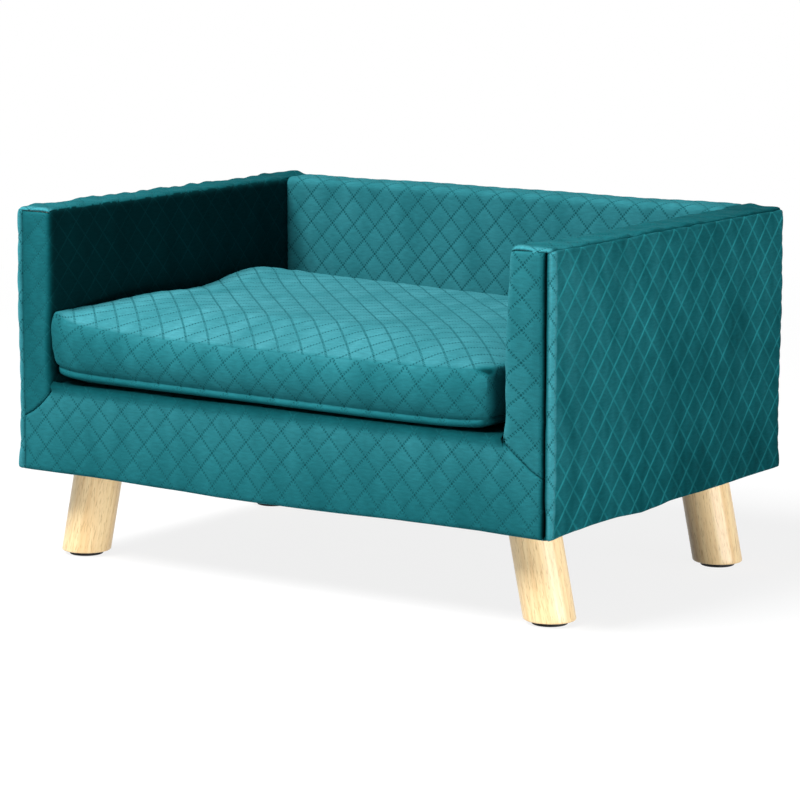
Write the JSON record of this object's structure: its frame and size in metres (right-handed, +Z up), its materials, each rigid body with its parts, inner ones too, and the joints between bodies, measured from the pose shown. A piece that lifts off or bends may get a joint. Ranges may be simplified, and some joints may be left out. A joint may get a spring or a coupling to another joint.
{
  "type": "dog bed with frame",
  "caption": "Small upholstered pet sofa with quilted velvet arms, back and front rail, a loose boxed cushion and splayed screw-in wooden legs.",
  "frame": {"origin": "on the floor under the middle of the sofa", "axes": "+X along the width to the right seen from the front, +Y from the front to the back, +Z up"},
  "size_m": [0.64, 0.45, 0.365],
  "materials": {
    "velvet": "quilted velvet, teal",
    "foam": "open-cell foam, cream",
    "lining": "non-woven cloth, black",
    "plywood": "raw plywood",
    "pine": "planed pine",
    "leg_wood": "pale wood, clear satin lacquer",
    "zinc_steel": "zinc-plated steel",
    "black_plastic": "moulded black plastic",
    "zip_tape": "woven zip tape with nylon coil, teal"
  },
  "bodies": {
    "root": {"side_board_left": "plywood", "side_board_right": "plywood", "front_board": "plywood", "back_board": "plywood", "seat_board": "plywood", "frame_screw_1": "zinc_steel", "frame_screw_2": "zinc_steel", "frame_screw_3": "zinc_steel", "frame_screw_4": "zinc_steel", "frame_screw_5": "zinc_steel", "frame_screw_6": "zinc_steel", "frame_screw_7": "zinc_steel", "frame_screw_8": "zinc_steel", "side_cleat_left": "pine", "side_cleat_right": "pine", "centre_brace": "pine", "corner_post_front_left": "pine", "corner_post_front_right": "pine", "corner_post_back_left": "pine", "corner_post_back_right": "pine", "leg_plate_front_left": "pine", "leg_plate_front_right": "pine", "leg_plate_back_left": "pine", "leg_plate_back_right": "pine", "tee_nut_front_left": "zinc_steel", "tee_nut_front_right": "zinc_steel", "tee_nut_back_left": "zinc_steel", "tee_nut_back_right": "zinc_steel", "arm_foam_left": "foam", "arm_foam_right": "foam", "back_foam": "foam", "front_foam": "foam", "front_cover": "velvet", "arm_cover_left": "velvet", "arm_cover_right": "velvet", "back_cover": "velvet", "deck_cover": "lining", "dust_cover": "lining"},
    "cushion": {"cushion_cover": "velvet", "cushion_foam": "foam", "cushion_zip": "zip_tape"},
    "zip_slider": {"zip_slider": "zinc_steel"},
    "zip_pull": {"zip_pull": "zinc_steel"},
    "washer_front_left": {"leg_washer_front_left": "zinc_steel"},
    "leg_front_left": {"leg_front_left": "leg_wood", "hanger_bolt_front_left": "zinc_steel", "glide_front_left": "black_plastic"},
    "washer_front_right": {"leg_washer_front_right": "zinc_steel"},
    "leg_front_right": {"leg_front_right": "leg_wood", "hanger_bolt_front_right": "zinc_steel", "glide_front_right": "black_plastic"},
    "washer_back_left": {"leg_washer_back_left": "zinc_steel"},
    "leg_back_left": {"leg_back_left": "leg_wood", "hanger_bolt_back_left": "zinc_steel", "glide_back_left": "black_plastic"},
    "washer_back_right": {"leg_washer_back_right": "zinc_steel"},
    "leg_back_right": {"leg_back_right": "leg_wood", "hanger_bolt_back_right": "zinc_steel", "glide_back_right": "black_plastic"}
  },
  "joints": [
    {"name": "cushion_lift", "type": "slide", "parent": "root", "child": "cushion", "axis": [0, 0, 1], "range_m": [0, 0.2]},
    {"name": "zip_run", "type": "slide", "parent": "cushion", "child": "zip_slider", "axis": [-1, 0, 0], "range_m": [0, 0.456]},
    {"name": "zip_pull_swing", "type": "hinge", "parent": "zip_slider", "child": "zip_pull", "pos_m": [0.2185, 0.1707, 0.21905], "axis": [0, 0, -1], "range_deg": [0, 18]},
    {"name": "leg_drop_front_left", "type": "slide", "parent": "root", "child": "washer_front_left", "axis": [0, 0, -1], "range_m": [0, 0.0121]},
    {"name": "leg_turn_front_left", "type": "hinge", "parent": "washer_front_left", "child": "leg_front_left", "pos_m": [-0.26357, -0.163, 0.0957], "axis": [0, 0, -1], "range_deg": [0, 3456]},
    {"name": "leg_drop_front_right", "type": "slide", "parent": "root", "child": "washer_front_right", "axis": [0, 0, -1], "range_m": [0, 0.0121]},
    {"name": "leg_turn_front_right", "type": "hinge", "parent": "washer_front_right", "child": "leg_front_right", "pos_m": [0.26357, -0.163, 0.0957], "axis": [0, 0, -1], "range_deg": [0, 3456]},
    {"name": "leg_drop_back_left", "type": "slide", "parent": "root", "child": "washer_back_left", "axis": [0, 0, -1], "range_m": [0, 0.0121]},
    {"name": "leg_turn_back_left", "type": "hinge", "parent": "washer_back_left", "child": "leg_back_left", "pos_m": [-0.26357, 0.163, 0.0957], "axis": [0, 0, -1], "range_deg": [0, 3456]},
    {"name": "leg_drop_back_right", "type": "slide", "parent": "root", "child": "washer_back_right", "axis": [0, 0, -1], "range_m": [0, 0.0121]},
    {"name": "leg_turn_back_right", "type": "hinge", "parent": "washer_back_right", "child": "leg_back_right", "pos_m": [0.26357, 0.163, 0.0957], "axis": [0, 0, -1], "range_deg": [0, 3456]}
  ],
  "couplings": [
    {"joint": "leg_drop_front_left", "follows": "leg_turn_front_left", "m_per_rad": 0.00019894},
    {"joint": "leg_drop_front_right", "follows": "leg_turn_front_right", "m_per_rad": 0.00019894},
    {"joint": "leg_drop_back_left", "follows": "leg_turn_back_left", "m_per_rad": 0.00019894},
    {"joint": "leg_drop_back_right", "follows": "leg_turn_back_right", "m_per_rad": 0.00019894}
  ]
}
